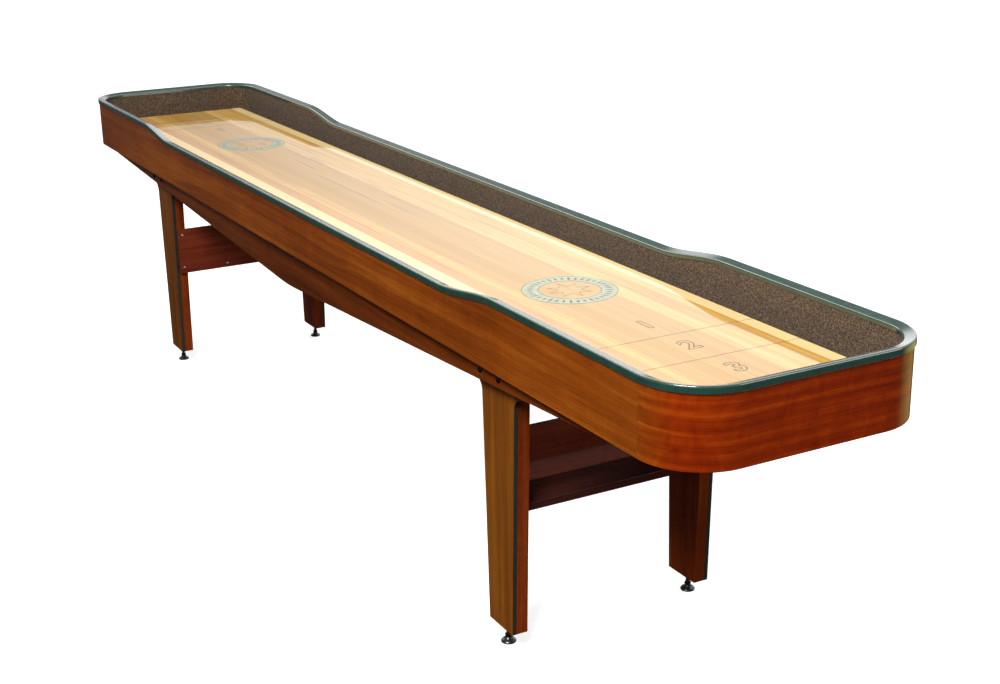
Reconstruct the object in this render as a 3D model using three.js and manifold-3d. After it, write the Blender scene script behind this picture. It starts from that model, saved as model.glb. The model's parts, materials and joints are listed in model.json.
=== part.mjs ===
// Twelve-foot shuffleboard table. Millimetres, +Z up, origin on the floor under the centre.
// +X runs along the table, +Y across it. Both ends and both sides are alike.
import * as THREE from 'three';
import { mergeVertices } from 'three/addons/utils/BufferGeometryUtils.js';
import Module from 'manifold-3d';

const wasm = await Module();
wasm.setup();

// Driving dimensions
const LENGTH = 3658;
const WIDTH = 600;
const RAIL_TOP_HIGH = 814;
const RAIL_TOP_LOW = 789;
const RAIL_WIDTH = 24;
const RAIL_HEIGHT = 17;
const RAIL_INNER_HEIGHT = 10;
const RAIL_ROUND_OUTER = 6;
const RAIL_ROUND_INNER = 3;
const RAIL_OVERHANG = 3;
const BEND_START = 930;
const BEND_END = 1180;
const BEND_STEPS = 8;
const CORNER_RADIUS = 130;
const CORNER_STEPS = 10;
const GAP = 0.3;

// Cabinet
const WALL = 15;
const LINER = 4;
const CABINET_BOTTOM = 652;
const BOTTOM_PANEL = 12;
const CARPET = 4;
const PLAYFIELD_LENGTH = 3346;
const PLAYFIELD_WIDTH = 425;
const PLAYFIELD_THICKNESS = 44;
const PLAYFIELD_TOP = 740;
const CLEAT_WIDTH = 60;
const CLEAT_LENGTH = 380;
const CLEAT_SPACING = 750;
const APRON_INSET = 16;
const APRON_THICKNESS = 19;
const APRON_HALF_LENGTH = 1650;
const APRON_LOW = 547;
const APRON_END_DEPTH = 8;
const APRON_KINK = 60;

// Legs
const LEG_X = 1127;
const LEG_BOTTOM = 42;
const LEG_HALF_BOTTOM = 51;
const LEG_HALF_SHOULDER = 69;
const LEG_SHOULDER = 574;
const LEG_HALF_HEAD = 105;
const LEG_HEAD = 604;
const LEG_BOARD = 10;
const LEG_BLOCK = 28;
const BOLT_SPREAD = 39;
const BOLT_Z = 636;
const BOLT_RADIUS = 4;
const CROSS_BOARD_LOW = 321;
const CROSS_BOARD_HEIGHT = 149;
const CROSS_BOARD_THICKNESS = 12;
const SHELF_TOP = 343.5;
const SHELF_THICKNESS = 18.5;
const SHELF_DEPTH = 103;

// Levelling feet
const FOOT_Y = 243;
const PAD_RADIUS = 17;
const STEM_RADIUS = 5;
const STEM_LOW = 7.4;
const STEM_TOP = 70;
const BORE_TOP = 88;
const INSERT_RADIUS = 8;
const INSERT_LENGTH = 25;

// Climate adjusters
const ADJUSTER_X = 375;
const ADJUSTER_Y = 150;
const ROD_RADIUS = 5;
const ROD_Z = 679;
const ANGLE_LENGTH = 60;
const ANGLE_FLANGE = 30;
const ANGLE_DROP = 26;
const ANGLE_THICKNESS = 4;

// Worked out from the driving dimensions
const halfLength = LENGTH / 2 - RAIL_OVERHANG;
const halfWidth = WIDTH / 2 - RAIL_OVERHANG;
const jointX = halfLength - CORNER_RADIUS;
const floorTop = CABINET_BOTTOM + BOTTOM_PANEL;
const legTop = CABINET_BOTTOM - GAP;
const apronFace = halfWidth - APRON_INSET;
const apronBack = apronFace - APRON_THICKNESS;
const legFace = apronBack - GAP;
const blockFace = legFace - LEG_BOARD - GAP;
const blockBack = blockFace - LEG_BLOCK;
const legSlope = (LEG_HALF_SHOULDER - LEG_HALF_BOTTOM) / (LEG_SHOULDER - LEG_BOTTOM);
const railCentreY = WIDTH / 2 - RAIL_WIDTH / 2;
const cornerCentreY = halfWidth - CORNER_RADIUS;

// Materials
const paint = (color, roughness, metalness = 0) =>
  new THREE.MeshStandardMaterial({ color, roughness, metalness });
const materials = {
  cherry: paint(0xb4521c, 0.3),
  leg: paint(0xa8511f, 0.35),
  redwood: paint(0x8e3f22, 0.4),
  vinyl: paint(0x0e4744, 0.25),
  carpet: paint(0x5b5048, 0.95),
  maple: paint(0xe3c48c, 0.12),
  support: paint(0xc9a676, 0.6),
  steel: paint(0xa9abad, 0.35, 1),
  darkSteel: paint(0x2b2622, 0.4, 0.8),
  black: paint(0x1b1c1c, 0.5),
};

const table = new THREE.Group();

function addMesh(name, geometry, material) {
  const mesh = new THREE.Mesh(geometry, material);
  mesh.name = name;
  table.add(mesh);
  return mesh;
}

// Solids: a closed mesh to a manifold and back
function toSolid(geometry) {
  const bare = geometry.clone();
  bare.deleteAttribute('normal');
  bare.deleteAttribute('uv');
  const merged = mergeVertices(bare, 1e-4);
  const vertProperties = new Float32Array(merged.attributes.position.array);
  const triVerts = new Uint32Array(merged.index.array);
  return new wasm.Manifold(new wasm.Mesh({ numProp: 3, vertProperties, triVerts }));
}

function toGeometry(solid) {
  const mesh = solid.getMesh();
  const geometry = new THREE.BufferGeometry();
  geometry.setAttribute('position', new THREE.BufferAttribute(mesh.vertProperties, 3));
  geometry.setIndex(new THREE.BufferAttribute(mesh.triVerts, 1));
  return geometry;
}

function joined(geometries) {
  const solids = geometries.map(toSolid);
  return toGeometry(solids.reduce((sum, solid) => sum.add(solid)));
}

function cut(geometry, tool) {
  return toGeometry(toSolid(geometry).subtract(toSolid(tool)));
}

// Basic shapes
function block(low, high) {
  const size = high.map((value, axis) => value - low[axis]);
  const centre = high.map((value, axis) => (value + low[axis]) / 2);
  return new THREE.BoxGeometry(...size).translate(...centre);
}

function plate(points, low, high) {
  const shape = new THREE.Shape(points.map(([x, y]) => new THREE.Vector2(x, y)));
  const options = { depth: high - low, bevelEnabled: false };
  return new THREE.ExtrudeGeometry(shape, options).translate(0, 0, low);
}

// A board standing in the XZ plane, drawn as (x, z), from Y = low to Y = high, with round holes
function upright(points, low, high, holes = []) {
  const shape = new THREE.Shape(points.map(([x, z]) => new THREE.Vector2(x, z)));
  for (const [x, z, radius] of holes) {
    const hole = new THREE.Path();
    hole.absarc(x, z, radius, 0, 2 * Math.PI, true);
    shape.holes.push(hole);
  }
  const options = { depth: high - low, bevelEnabled: false, curveSegments: 6 };
  return new THREE.ExtrudeGeometry(shape, options).rotateX(Math.PI / 2).translate(0, high, 0);
}

// A body of revolution about +Z, its profile given as (radius, z)
function turned(profile, segments = 20) {
  const points = profile.map(([radius, z]) => new THREE.Vector2(radius, z));
  return new THREE.LatheGeometry(points, segments).rotateX(Math.PI / 2);
}

function hexagon(radius, low, high) {
  const height = high - low;
  const prism = new THREE.CylinderGeometry(radius, radius, height, 6).rotateX(Math.PI / 2);
  return prism.translate(0, 0, (low + high) / 2);
}

function rod(radius, low, high, segments = 16) {
  return turned([[0, low], [radius, low], [radius, high], [0, high]], segments);
}

// The rail's top line: low in the middle, high at both ends, with a smooth bend between
function bendPart(x) {
  const along = (Math.abs(x) - BEND_START) / (BEND_END - BEND_START);
  return Math.min(Math.max(along, 0), 1);
}

function railTop(x) {
  const part = bendPart(x);
  return RAIL_TOP_LOW + (RAIL_TOP_HIGH - RAIL_TOP_LOW) * part * part * (3 - 2 * part);
}

function railSlope(x) {
  const part = bendPart(x);
  const grade = (RAIL_TOP_HIGH - RAIL_TOP_LOW) / (BEND_END - BEND_START);
  return Math.sign(x) * grade * 6 * part * (1 - part);
}

function railStations() {
  const bend = [];
  for (let step = 0; step <= BEND_STEPS; step += 1) {
    bend.push(BEND_START + (BEND_END - BEND_START) * step / BEND_STEPS);
  }
  const right = [...bend, jointX - GAP];
  return [...right.map((x) => -x).reverse(), ...right];
}

// A path through hand-set stations, so that straight stretches take a single step
class StationPath extends THREE.Curve {
  constructor(stations) {
    super();
    this.stations = stations;
  }

  getPoint(t, target = new THREE.Vector3()) {
    const scaled = t * (this.stations.length - 1);
    const index = Math.min(Math.floor(scaled), this.stations.length - 2);
    const from = this.stations[index].point;
    return target.lerpVectors(from, this.stations[index + 1].point, scaled - index);
  }

  getPointAt(u, target) {
    return this.getPoint(u, target);
  }

  getTangentAt(u, target = new THREE.Vector3()) {
    const index = Math.round(u * (this.stations.length - 1));
    return target.copy(this.stations[index].direction).normalize();
  }
}

// The rail's section: flat underneath, its top falling from a tall outer edge to a low inner one.
// Its x runs down and its y across, and outer is 1 or -1, the side of y that faces out.
function railSection(outer) {
  const underside = RAIL_HEIGHT / 2;
  const outerTop = -RAIL_HEIGHT / 2;
  const innerTop = underside - RAIL_INNER_HEIGHT;
  const outerY = outer * RAIL_WIDTH / 2;
  const slope = Math.hypot(innerTop - outerTop, RAIL_WIDTH);
  const down = (innerTop - outerTop) / slope;
  const across = outer * RAIL_WIDTH / slope;
  const section = new THREE.Shape();
  section.moveTo(underside, -outerY);
  section.lineTo(underside, outerY);
  section.lineTo(outerTop + RAIL_ROUND_OUTER, outerY);
  section.quadraticCurveTo(
    outerTop,
    outerY,
    outerTop + RAIL_ROUND_OUTER * down,
    outerY - RAIL_ROUND_OUTER * across,
  );
  section.lineTo(innerTop - RAIL_ROUND_INNER * down, -outerY + RAIL_ROUND_INNER * across);
  section.quadraticCurveTo(innerTop, -outerY, innerTop + RAIL_ROUND_INNER, -outerY);
  return section;
}

function rail(stations, outer) {
  const extrudePath = new StationPath(stations);
  const options = { steps: stations.length - 1, extrudePath, bevelEnabled: false, curveSegments: 4 };
  return new THREE.ExtrudeGeometry(railSection(outer), options);
}

function sideRail(outer) {
  return rail(railStations().map((x) => ({
    point: new THREE.Vector3(x, 0, railTop(x) - RAIL_HEIGHT / 2),
    direction: new THREE.Vector3(1, 0, railSlope(x)),
  })), outer);
}

// Points round one end of the cabinet, a given distance inside its outer face
function endPoints(inset) {
  const radius = CORNER_RADIUS - inset;
  const points = [];
  for (const [side, start] of [[-1, -Math.PI / 2], [1, 0]]) {
    for (let step = 0; step <= CORNER_STEPS; step += 1) {
      const angle = start + Math.PI / 2 * step / CORNER_STEPS;
      const x = jointX + radius * Math.cos(angle);
      const y = side * cornerCentreY + radius * Math.sin(angle);
      points.push([x, y, angle]);
    }
  }
  return points;
}

function endRail() {
  const inset = RAIL_WIDTH / 2 - RAIL_OVERHANG;
  const z = RAIL_TOP_HIGH - RAIL_HEIGHT / 2;
  return rail(endPoints(inset).map(([x, y, angle]) => ({
    point: new THREE.Vector3(x, y, z),
    direction: new THREE.Vector3(-Math.sin(angle), Math.cos(angle), 0),
  })), -1);
}

// A bent wall round one end, between two distances inside the cabinet's outer face
function endWall(outer, inner, low, high) {
  const points = [...endPoints(outer), ...endPoints(inner).reverse()];
  return plate(points.map(([x, y]) => [x, y]), low, high);
}

// A flat sheet that fills the cabinet, a given distance inside its outer face
function floorSheet(inset, low, high) {
  const near = endPoints(inset).map(([x, y]) => [x, y]);
  const far = near.map(([x, y]) => [-x, -y]);
  return plate([...near, ...far], low, high);
}

function wallOutline(low) {
  const clearance = RAIL_HEIGHT + 0.5;
  const top = railStations().map((x) => [x, railTop(x) - clearance]);
  const end = jointX - GAP;
  return [[-end, low], [end, low], ...top.reverse()];
}

// Cabinet
function addCabinet() {
  const wallTop = RAIL_TOP_HIGH - RAIL_HEIGHT - GAP;
  const linerFace = halfWidth - WALL - GAP;
  for (const [name, side] of [['left', -1], ['right', 1]]) {
    const wall = upright(wallOutline(CABINET_BOTTOM), -WALL / 2, WALL / 2);
    const wallMesh = addMesh(`side_panel_${name}`, wall, materials.cherry);
    wallMesh.position.y = side * (halfWidth - WALL / 2);
    const liner = upright(wallOutline(floorTop + GAP), -LINER / 2, LINER / 2);
    const linerMesh = addMesh(`carpet_liner_${name}`, liner, materials.carpet);
    linerMesh.position.y = side * (linerFace - LINER / 2);
    const railMesh = addMesh(`rail_${name}`, sideRail(side), materials.vinyl);
    railMesh.position.y = side * railCentreY;
  }
  for (const [name, turn] of [['near', 0], ['far', Math.PI]]) {
    const inner = WALL + GAP;
    const cap = addMesh(`end_cap_${name}`, endWall(0, WALL, CABINET_BOTTOM, wallTop), materials.cherry);
    const liner = endWall(inner, inner + LINER, floorTop + GAP, wallTop);
    const linerMesh = addMesh(`carpet_liner_${name}`, liner, materials.carpet);
    const railMesh = addMesh(`rail_${name}`, endRail(), materials.vinyl);
    for (const mesh of [cap, linerMesh, railMesh]) {
      mesh.rotation.z = turn;
    }
  }
  const panel = floorSheet(WALL + GAP, CABINET_BOTTOM, floorTop);
  addMesh('bottom_panel', panel, materials.support);
  const carpetInset = WALL + LINER + 3 * GAP;
  const carpet = floorSheet(carpetInset, floorTop + GAP, floorTop + GAP + CARPET);
  addMesh('gutter_carpet', carpet, materials.carpet);
}

// Playfield on its cleats
function addPlayfield() {
  const bottom = PLAYFIELD_TOP - PLAYFIELD_THICKNESS;
  const half = [PLAYFIELD_LENGTH / 2, PLAYFIELD_WIDTH / 2];
  const board = block([-half[0], -half[1], bottom], [half[0], half[1], PLAYFIELD_TOP]);
  addMesh('playfield', board, materials.maple);
  const low = floorTop + CARPET + 2 * GAP;
  for (let index = 0; index < 5; index += 1) {
    const x = (index - 2) * CLEAT_SPACING;
    const from = [x - CLEAT_WIDTH / 2, -CLEAT_LENGTH / 2, low];
    const to = [x + CLEAT_WIDTH / 2, CLEAT_LENGTH / 2, bottom - GAP];
    addMesh(`playfield_cleat_${index + 1}`, block(from, to), materials.support);
  }
}

// Aprons: deepest at mid-length, where the lower edge turns through a short curve
function apronOutline() {
  const end = APRON_HALF_LENGTH;
  const endLow = legTop - APRON_END_DEPTH;
  const slope = (endLow - APRON_LOW) / end;
  const points = [[-end, legTop], [-end, endLow]];
  for (let step = -2; step <= 2; step += 1) {
    const x = APRON_KINK * step / 2;
    points.push([x, APRON_LOW + slope * (x * x / APRON_KINK + APRON_KINK) / 2]);
  }
  return [...points, [end, endLow], [end, legTop]];
}

function boltPlaces(centres) {
  return centres.flatMap((centre) => [centre - BOLT_SPREAD, centre + BOLT_SPREAD]);
}

function addAprons() {
  const holes = boltPlaces([-LEG_X, LEG_X]).map((x) => [x, BOLT_Z, BOLT_RADIUS + GAP]);
  for (const [name, low, high] of [
    ['left', -apronFace, -apronBack],
    ['right', apronBack, apronFace],
  ]) {
    addMesh(`apron_${name}`, upright(apronOutline(), low, high, holes), materials.cherry);
  }
}

// Legs
function halfLegWidth(z) {
  return LEG_HALF_BOTTOM + legSlope * (z - LEG_BOTTOM);
}

function legBoardOutline() {
  const right = [[LEG_HALF_BOTTOM, LEG_BOTTOM], [LEG_HALF_SHOULDER, LEG_SHOULDER]];
  const reach = LEG_HALF_HEAD - LEG_HALF_SHOULDER;
  const rise = LEG_HEAD - LEG_SHOULDER;
  for (const part of [0.25, 0.5, 0.75, 1]) {
    const angle = Math.PI / 2 * part;
    const x = LEG_HALF_SHOULDER + reach * (1 - Math.cos(angle));
    right.push([x, LEG_SHOULDER + rise * Math.sin(angle)]);
  }
  right.push([LEG_HALF_HEAD, legTop]);
  const left = right.map(([x, z]) => [-x, z]).reverse();
  return [...right, ...left];
}

function legBlockOutline() {
  const top = halfLegWidth(legTop);
  const foot = LEG_HALF_BOTTOM;
  return [[-foot, LEG_BOTTOM], [foot, LEG_BOTTOM], [top, legTop], [-top, legTop]];
}

function addLeg(name, signX, signY) {
  const holes = boltPlaces([0]).map((x) => [x, BOLT_Z, BOLT_RADIUS + GAP]);
  const place = (mesh) => mesh.position.setX(signX * LEG_X);
  const span = (inner, outer) => (signY > 0 ? [inner, outer] : [-outer, -inner]);
  const board = upright(legBoardOutline(), ...span(blockFace + GAP, legFace), holes);
  place(addMesh(`leg_board_${name}`, board, materials.leg));
  const bore = rod(INSERT_RADIUS + GAP, LEG_BOTTOM - 1, BORE_TOP).translate(0, signY * FOOT_Y, 0);
  const blank = upright(legBlockOutline(), ...span(blockBack, blockFace), holes);
  place(addMesh(`leg_block_${name}`, cut(blank, bore), materials.redwood));
  addLeveler(name, signX * LEG_X, signY * FOOT_Y);
  boltPlaces([0]).forEach((x, index) => {
    const bolt = addMesh(`leg_bolt_${name}_${index + 1}`, legBolt(), materials.darkSteel);
    bolt.rotation.x = -signY * Math.PI / 2;
    bolt.position.set(signX * LEG_X + x, 0, BOLT_Z);
  });
}

// A bolt along +Z: domed head outside the apron, washer and nut behind the leg
function legBolt() {
  const head = apronFace + GAP;
  const back = blockBack - GAP;
  const shank = turned([
    [0, back - 9], [BOLT_RADIUS, back - 9], [BOLT_RADIUS, back - 2], [10, back - 2], [10, back],
    [BOLT_RADIUS, back], [BOLT_RADIUS, head], [8, head], [7, head + 2.5], [4, head + 4.2], [0, head + 4.8],
  ], 14);
  return joined([shank, hexagon(7.5, back - 8, back - 1)]);
}

// Levelling foot: insert in the leg, threaded stem, round pad
function addLeveler(name, x, y) {
  const flangeLow = LEG_BOTTOM - GAP - 2;
  const flangeHigh = LEG_BOTTOM - GAP;
  const inner = STEM_RADIUS + GAP;
  const insertTop = LEG_BOTTOM + INSERT_LENGTH;
  const insert = turned([
    [inner, flangeLow], [12, flangeLow], [12, flangeHigh], [INSERT_RADIUS, flangeHigh],
    [INSERT_RADIUS, insertTop], [inner, insertTop], [inner, flangeLow],
  ]);
  const stem = joined([rod(STEM_RADIUS, STEM_LOW, STEM_TOP), hexagon(8, 14, 20)]);
  const socket = STEM_LOW - GAP;
  const pad = turned([
    [0, 0], [PAD_RADIUS, 0], [PAD_RADIUS, 4], [15, 6.5], [10, 9], [8, 12],
    [inner, 12], [inner, socket], [0, socket],
  ], 28);
  addMesh(`leg_insert_${name}`, insert, materials.steel).position.set(x, y, 0);
  addMesh(`leveler_stem_${name}`, stem, materials.darkSteel).position.set(x, y, 0);
  addMesh(`leveler_pad_${name}`, pad, materials.black).position.set(x, y, 0);
}

// Cross board along the inner edges of a pair of legs, and the shelf that it carries
function addLegPair(name, sign) {
  const tilt = Math.atan(legSlope);
  const middle = CROSS_BOARD_LOW + CROSS_BOARD_HEIGHT / 2;
  const edgeX = LEG_X - halfLegWidth(middle) - GAP;
  const half = CROSS_BOARD_HEIGHT / 2;
  const board = block([-CROSS_BOARD_THICKNESS, -blockFace, -half], [0, blockFace, half]);
  board.rotateY(-tilt).translate(edgeX, 0, middle);
  const shelfStart = LEG_X - halfLegWidth(SHELF_TOP - SHELF_THICKNESS) + GAP;
  const reach = blockBack - GAP;
  const low = SHELF_TOP - SHELF_THICKNESS;
  const shelf = block([shelfStart, -reach, low], [shelfStart + SHELF_DEPTH, reach, SHELF_TOP]);
  const turn = sign > 0 ? 0 : Math.PI;
  addMesh(`cross_board_${name}`, board, materials.redwood).rotation.z = turn;
  addMesh(`leg_shelf_${name}`, shelf, materials.redwood).rotation.z = turn;
}

// Climate adjuster: two steel angles under the playfield, and the threaded rod between them
function angle(side) {
  const top = PLAYFIELD_TOP - PLAYFIELD_THICKNESS - GAP;
  const half = ANGLE_LENGTH / 2;
  const inner = ADJUSTER_Y - ANGLE_THICKNESS / 2;
  const outer = ADJUSTER_Y + ANGLE_THICKNESS / 2;
  const web = block([-half, inner, top - ANGLE_DROP], [half, outer, top]);
  const flange = block([-half, outer - ANGLE_FLANGE, top - ANGLE_THICKNESS], [half, outer, top]);
  const bore = rod(ROD_RADIUS + GAP, inner - 5, outer + 5).rotateX(-Math.PI / 2).translate(0, 0, ROD_Z);
  const bracket = cut(joined([web, flange]), bore);
  return side > 0 ? bracket : bracket.rotateZ(Math.PI);
}

function adjusterRod() {
  const outer = ADJUSTER_Y + ANGLE_THICKNESS / 2 + GAP;
  const end = outer + 16;
  const nuts = [hexagon(9, outer, outer + 8), hexagon(9, -outer - 8, -outer)];
  return joined([rod(ROD_RADIUS, -end, end), ...nuts]);
}

function addAdjuster(name, x) {
  for (const [side, sign] of [['left', -1], ['right', 1]]) {
    addMesh(`adjuster_angle_${name}_${side}`, angle(sign), materials.steel).position.x = x;
  }
  const bar = addMesh(`adjuster_rod_${name}`, adjusterRod(), materials.steel);
  bar.rotation.x = -Math.PI / 2;
  bar.position.set(x, 0, ROD_Z);
}

addCabinet();
addPlayfield();
addAprons();
for (const [name, signX, signY] of [
  ['near_left', 1, -1],
  ['near_right', 1, 1],
  ['far_left', -1, -1],
  ['far_right', -1, 1],
]) {
  addLeg(name, signX, signY);
}
addLegPair('near', 1);
addLegPair('far', -1);
addAdjuster('near', ADJUSTER_X);
addAdjuster('far', -ADJUSTER_X);

export default table;
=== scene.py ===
"""A twelve-foot shuffleboard table: the looks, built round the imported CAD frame.

Metres, +Z up. +X runs along the table and +Y across it, with the origin on the floor under its centre.
"""

import json
import math

import bmesh
import bpy
from mathutils import Matrix, Vector

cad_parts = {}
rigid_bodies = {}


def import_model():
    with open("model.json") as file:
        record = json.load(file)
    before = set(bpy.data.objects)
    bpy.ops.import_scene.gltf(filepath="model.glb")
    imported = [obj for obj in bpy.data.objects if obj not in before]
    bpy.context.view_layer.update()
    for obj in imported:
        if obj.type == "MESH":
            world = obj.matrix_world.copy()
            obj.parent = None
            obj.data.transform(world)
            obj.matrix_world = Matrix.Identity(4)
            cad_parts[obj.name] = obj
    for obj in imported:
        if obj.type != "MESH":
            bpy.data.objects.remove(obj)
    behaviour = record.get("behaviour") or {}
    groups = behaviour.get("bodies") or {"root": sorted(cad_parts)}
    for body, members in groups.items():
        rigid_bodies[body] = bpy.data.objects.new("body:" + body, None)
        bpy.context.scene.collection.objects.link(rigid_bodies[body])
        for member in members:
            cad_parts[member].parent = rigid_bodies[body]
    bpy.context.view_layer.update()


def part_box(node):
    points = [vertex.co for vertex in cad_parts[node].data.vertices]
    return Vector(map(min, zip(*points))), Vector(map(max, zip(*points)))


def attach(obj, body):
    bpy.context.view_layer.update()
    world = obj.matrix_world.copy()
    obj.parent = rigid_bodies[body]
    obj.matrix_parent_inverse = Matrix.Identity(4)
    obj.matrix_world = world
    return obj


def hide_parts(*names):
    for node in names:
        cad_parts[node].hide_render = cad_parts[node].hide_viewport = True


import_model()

MM = 0.001
ENDS = [("near", 1), ("far", -1)]
SIDES = [("left", -1), ("right", 1)]
CORNERS = [(f"{end}_{side}", sx, sy) for end, sx in ENDS for side, sy in SIDES]

# Driving dimensions, as the CAD model has them
RAIL_WIDTH = 24 * MM
RAIL_HEIGHT = 17 * MM
RAIL_INNER_HEIGHT = 10 * MM
RAIL_ROUND_OUTER = 6 * MM
RAIL_ROUND_INNER = 3 * MM
RAIL_OVERHANG = 3 * MM
RAIL_DIP = 25 * MM
BEND_START = 930 * MM
BEND_END = 1180 * MM
CORNER_RADIUS = 130 * MM
GAP = 0.3 * MM
APRON_END_DEPTH = 8 * MM
APRON_KINK = 60 * MM
LEG_HALF_BOTTOM = 51 * MM
LEG_HALF_SHOULDER = 69 * MM
LEG_SHOULDER = 574 * MM
LEG_HALF_HEAD = 105 * MM
LEG_HEAD = 604 * MM
BOLT_RADIUS = 4 * MM
CROSS_HEIGHT = 149 * MM
CROSS_THICKNESS = 12 * MM
STEM_RADIUS = 5 * MM
THREAD_PITCH = 1.5875 * MM
ANGLE_THICKNESS = 4 * MM
SCORE_ZONE = 152.4 * MM


def low(node):
    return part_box(node)[0]


def high(node):
    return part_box(node)[1]


RAIL_TOP_HIGH = high("rail_near")[2]
HALF_LENGTH = high("end_cap_near")[0]
HALF_WIDTH = high("side_panel_right")[1]
WALL = HALF_WIDTH - low("side_panel_right")[1]
LINER = high("carpet_liner_right")[1] - low("carpet_liner_right")[1]
CABINET_LOW = low("side_panel_right")[2]
FLOOR_TOP = high("bottom_panel")[2]
JOINT_X = HALF_LENGTH - CORNER_RADIUS
CENTRE_Y = HALF_WIDTH - CORNER_RADIUS
FIELD_LOW, FIELD_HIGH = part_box("playfield")


def centre(node):
    return (low(node) + high(node)) / 2


LEG_X = centre("leg_block_near_left")[0]
LEG_BOTTOM, LEG_TOP = low("leg_board_near_left")[2], high("leg_board_near_left")[2]
LEG_SLOPE = (LEG_HALF_SHOULDER - LEG_HALF_BOTTOM) / (LEG_SHOULDER - LEG_BOTTOM)
APRON_FACE = high("apron_right")[1]
BLOCK_BACK = low("leg_block_near_right")[1]


# ---------------------------------------------------------------- meshes
SHARP_ANGLE = math.radians(30)


def skin(name, mesh, replaces, material, body="table"):
    """Links a mesh as a piece of the object, smooth except at edges sharper than SHARP_ANGLE."""
    obj = bpy.data.objects.new(name, mesh)
    bpy.context.collection.objects.link(obj)
    mesh.polygons.foreach_set("use_smooth", [True] * len(mesh.polygons))
    mesh.set_sharp_from_angle(angle=SHARP_ANGLE)
    normals = obj.modifiers.new("flat faces stay flat", "WEIGHTED_NORMAL")
    normals.keep_sharp = True
    mesh.materials.append(material)
    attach(obj, body)
    if replaces:
        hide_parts(replaces)
    return obj


def set_grain(mesh, mapping):
    """Stores each vertex's place in its board: (along the grain, across it, through the thickness)."""
    attribute = mesh.attributes.new("grain", "FLOAT_VECTOR", "POINT")
    for index, vertex in enumerate(mesh.vertices):
        attribute.data[index].vector = mapping(vertex.co)
    return mesh


def loft(rings, closed=False, grains=None):
    """A skin over rings of equal length, each a loop of points, with flat caps unless it is closed."""
    mesh = bpy.data.meshes.new("loft")
    points = [tuple(point) for ring in rings for point in ring]
    size = len(rings[0])
    faces = []
    spans = len(rings) if closed else len(rings) - 1
    for index in range(spans):
        here = index * size
        there = (index + 1) % len(rings) * size
        for step in range(size):
            following = (step + 1) % size
            faces.append((here + step, here + following, there + following, there + step))
    if not closed:
        faces.append(tuple(reversed(range(size))))
        faces.append(tuple(range(len(points) - size, len(points))))
    mesh.from_pydata(points, [], faces)
    mesh.update()
    fix_normals(mesh)
    if grains:
        flat = [value for ring in grains for value in ring]
        attribute = mesh.attributes.new("grain", "FLOAT_VECTOR", "POINT")
        for index, value in enumerate(flat):
            attribute.data[index].vector = value
    return mesh


def fix_normals(mesh):
    work = bmesh.new()
    work.from_mesh(mesh)
    bmesh.ops.recalc_face_normals(work, faces=work.faces)
    work.to_mesh(mesh)
    work.free()


def revolve(profile, steps=48):
    """A body of revolution about +Z. The profile is (radius, z), from the axis round to the axis."""
    work = bmesh.new()
    columns = []
    for radius, z in profile:
        if radius < 1e-6:
            columns.append([work.verts.new((0, 0, z))])
            continue
        angles = [2 * math.pi * step / steps for step in range(steps)]
        columns.append([work.verts.new((radius * math.cos(a), radius * math.sin(a), z)) for a in angles])
    for here, there in zip(columns, columns[1:]):
        for step in range(steps):
            following = (step + 1) % steps
            ring = [here[step % len(here)], here[following % len(here)]]
            ring += [there[following % len(there)], there[step % len(there)]]
            corners = list(dict.fromkeys(ring))
            if len(corners) > 2:
                work.faces.new(corners)
    bmesh.ops.recalc_face_normals(work, faces=work.faces)
    mesh = bpy.data.meshes.new("revolve")
    work.to_mesh(mesh)
    work.free()
    return mesh


def prism(outline, depth, axis="y", start=0.0):
    """A slab from an outline. For axis y the outline is (x, z), and for axis z it is (x, y)."""
    work = bmesh.new()

    def place(point, level):
        return (point[0], level, point[1]) if axis == "y" else (point[0], point[1], level)

    bottom = [work.verts.new(place(point, start)) for point in outline]
    top = [work.verts.new(place(point, start + depth)) for point in outline]
    work.faces.new(bottom)
    work.faces.new(list(reversed(top)))
    for step in range(len(outline)):
        following = (step + 1) % len(outline)
        work.faces.new([bottom[step], top[step], top[following], bottom[following]])
    bmesh.ops.recalc_face_normals(work, faces=work.faces)
    mesh = bpy.data.meshes.new("prism")
    work.to_mesh(mesh)
    work.free()
    return mesh


def block(a, b):
    """A box from one corner to the other."""
    outline = [(a[0], a[1]), (b[0], a[1]), (b[0], b[1]), (a[0], b[1])]
    return prism(outline, b[2] - a[2], "z", a[2])


def eased(mesh, width, segments=3, angle=30, cutters=()):
    """The mesh with its cutters taken out and its sharp edges rounded."""
    obj = bpy.data.objects.new("eased", mesh)
    bpy.context.collection.objects.link(obj)
    tools = []
    for cutter in cutters:
        tool = bpy.data.objects.new("cutter", cutter)
        bpy.context.collection.objects.link(tool)
        tools.append(tool)
        modifier = obj.modifiers.new("cut", "BOOLEAN")
        modifier.object = tool
        modifier.operation = "DIFFERENCE"
        modifier.solver = "EXACT"
    bevel = obj.modifiers.new("ease", "BEVEL")
    bevel.width = width
    bevel.segments = segments
    bevel.limit_method = "ANGLE"
    bevel.angle_limit = math.radians(angle)
    bevel.use_clamp_overlap = True
    bpy.context.view_layer.update()
    graph = bpy.context.evaluated_depsgraph_get()
    made = bpy.data.meshes.new_from_object(obj.evaluated_get(graph))
    for spare in [obj, *tools]:
        bpy.data.objects.remove(spare)
    return made


def moved(mesh, offset=(0, 0, 0), turn=0.0, axis="Z"):
    mesh.transform(Matrix.Translation(offset) @ Matrix.Rotation(turn, 4, axis))
    return mesh


def joined(meshes):
    work = bmesh.new()
    for mesh in meshes:
        work.from_mesh(mesh)
    made = bpy.data.meshes.new("joined")
    work.to_mesh(made)
    work.free()
    return made


def rod(radius, start, end):
    return revolve([(0, start), (radius, start), (radius, end), (0, end)], 32)


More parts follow.
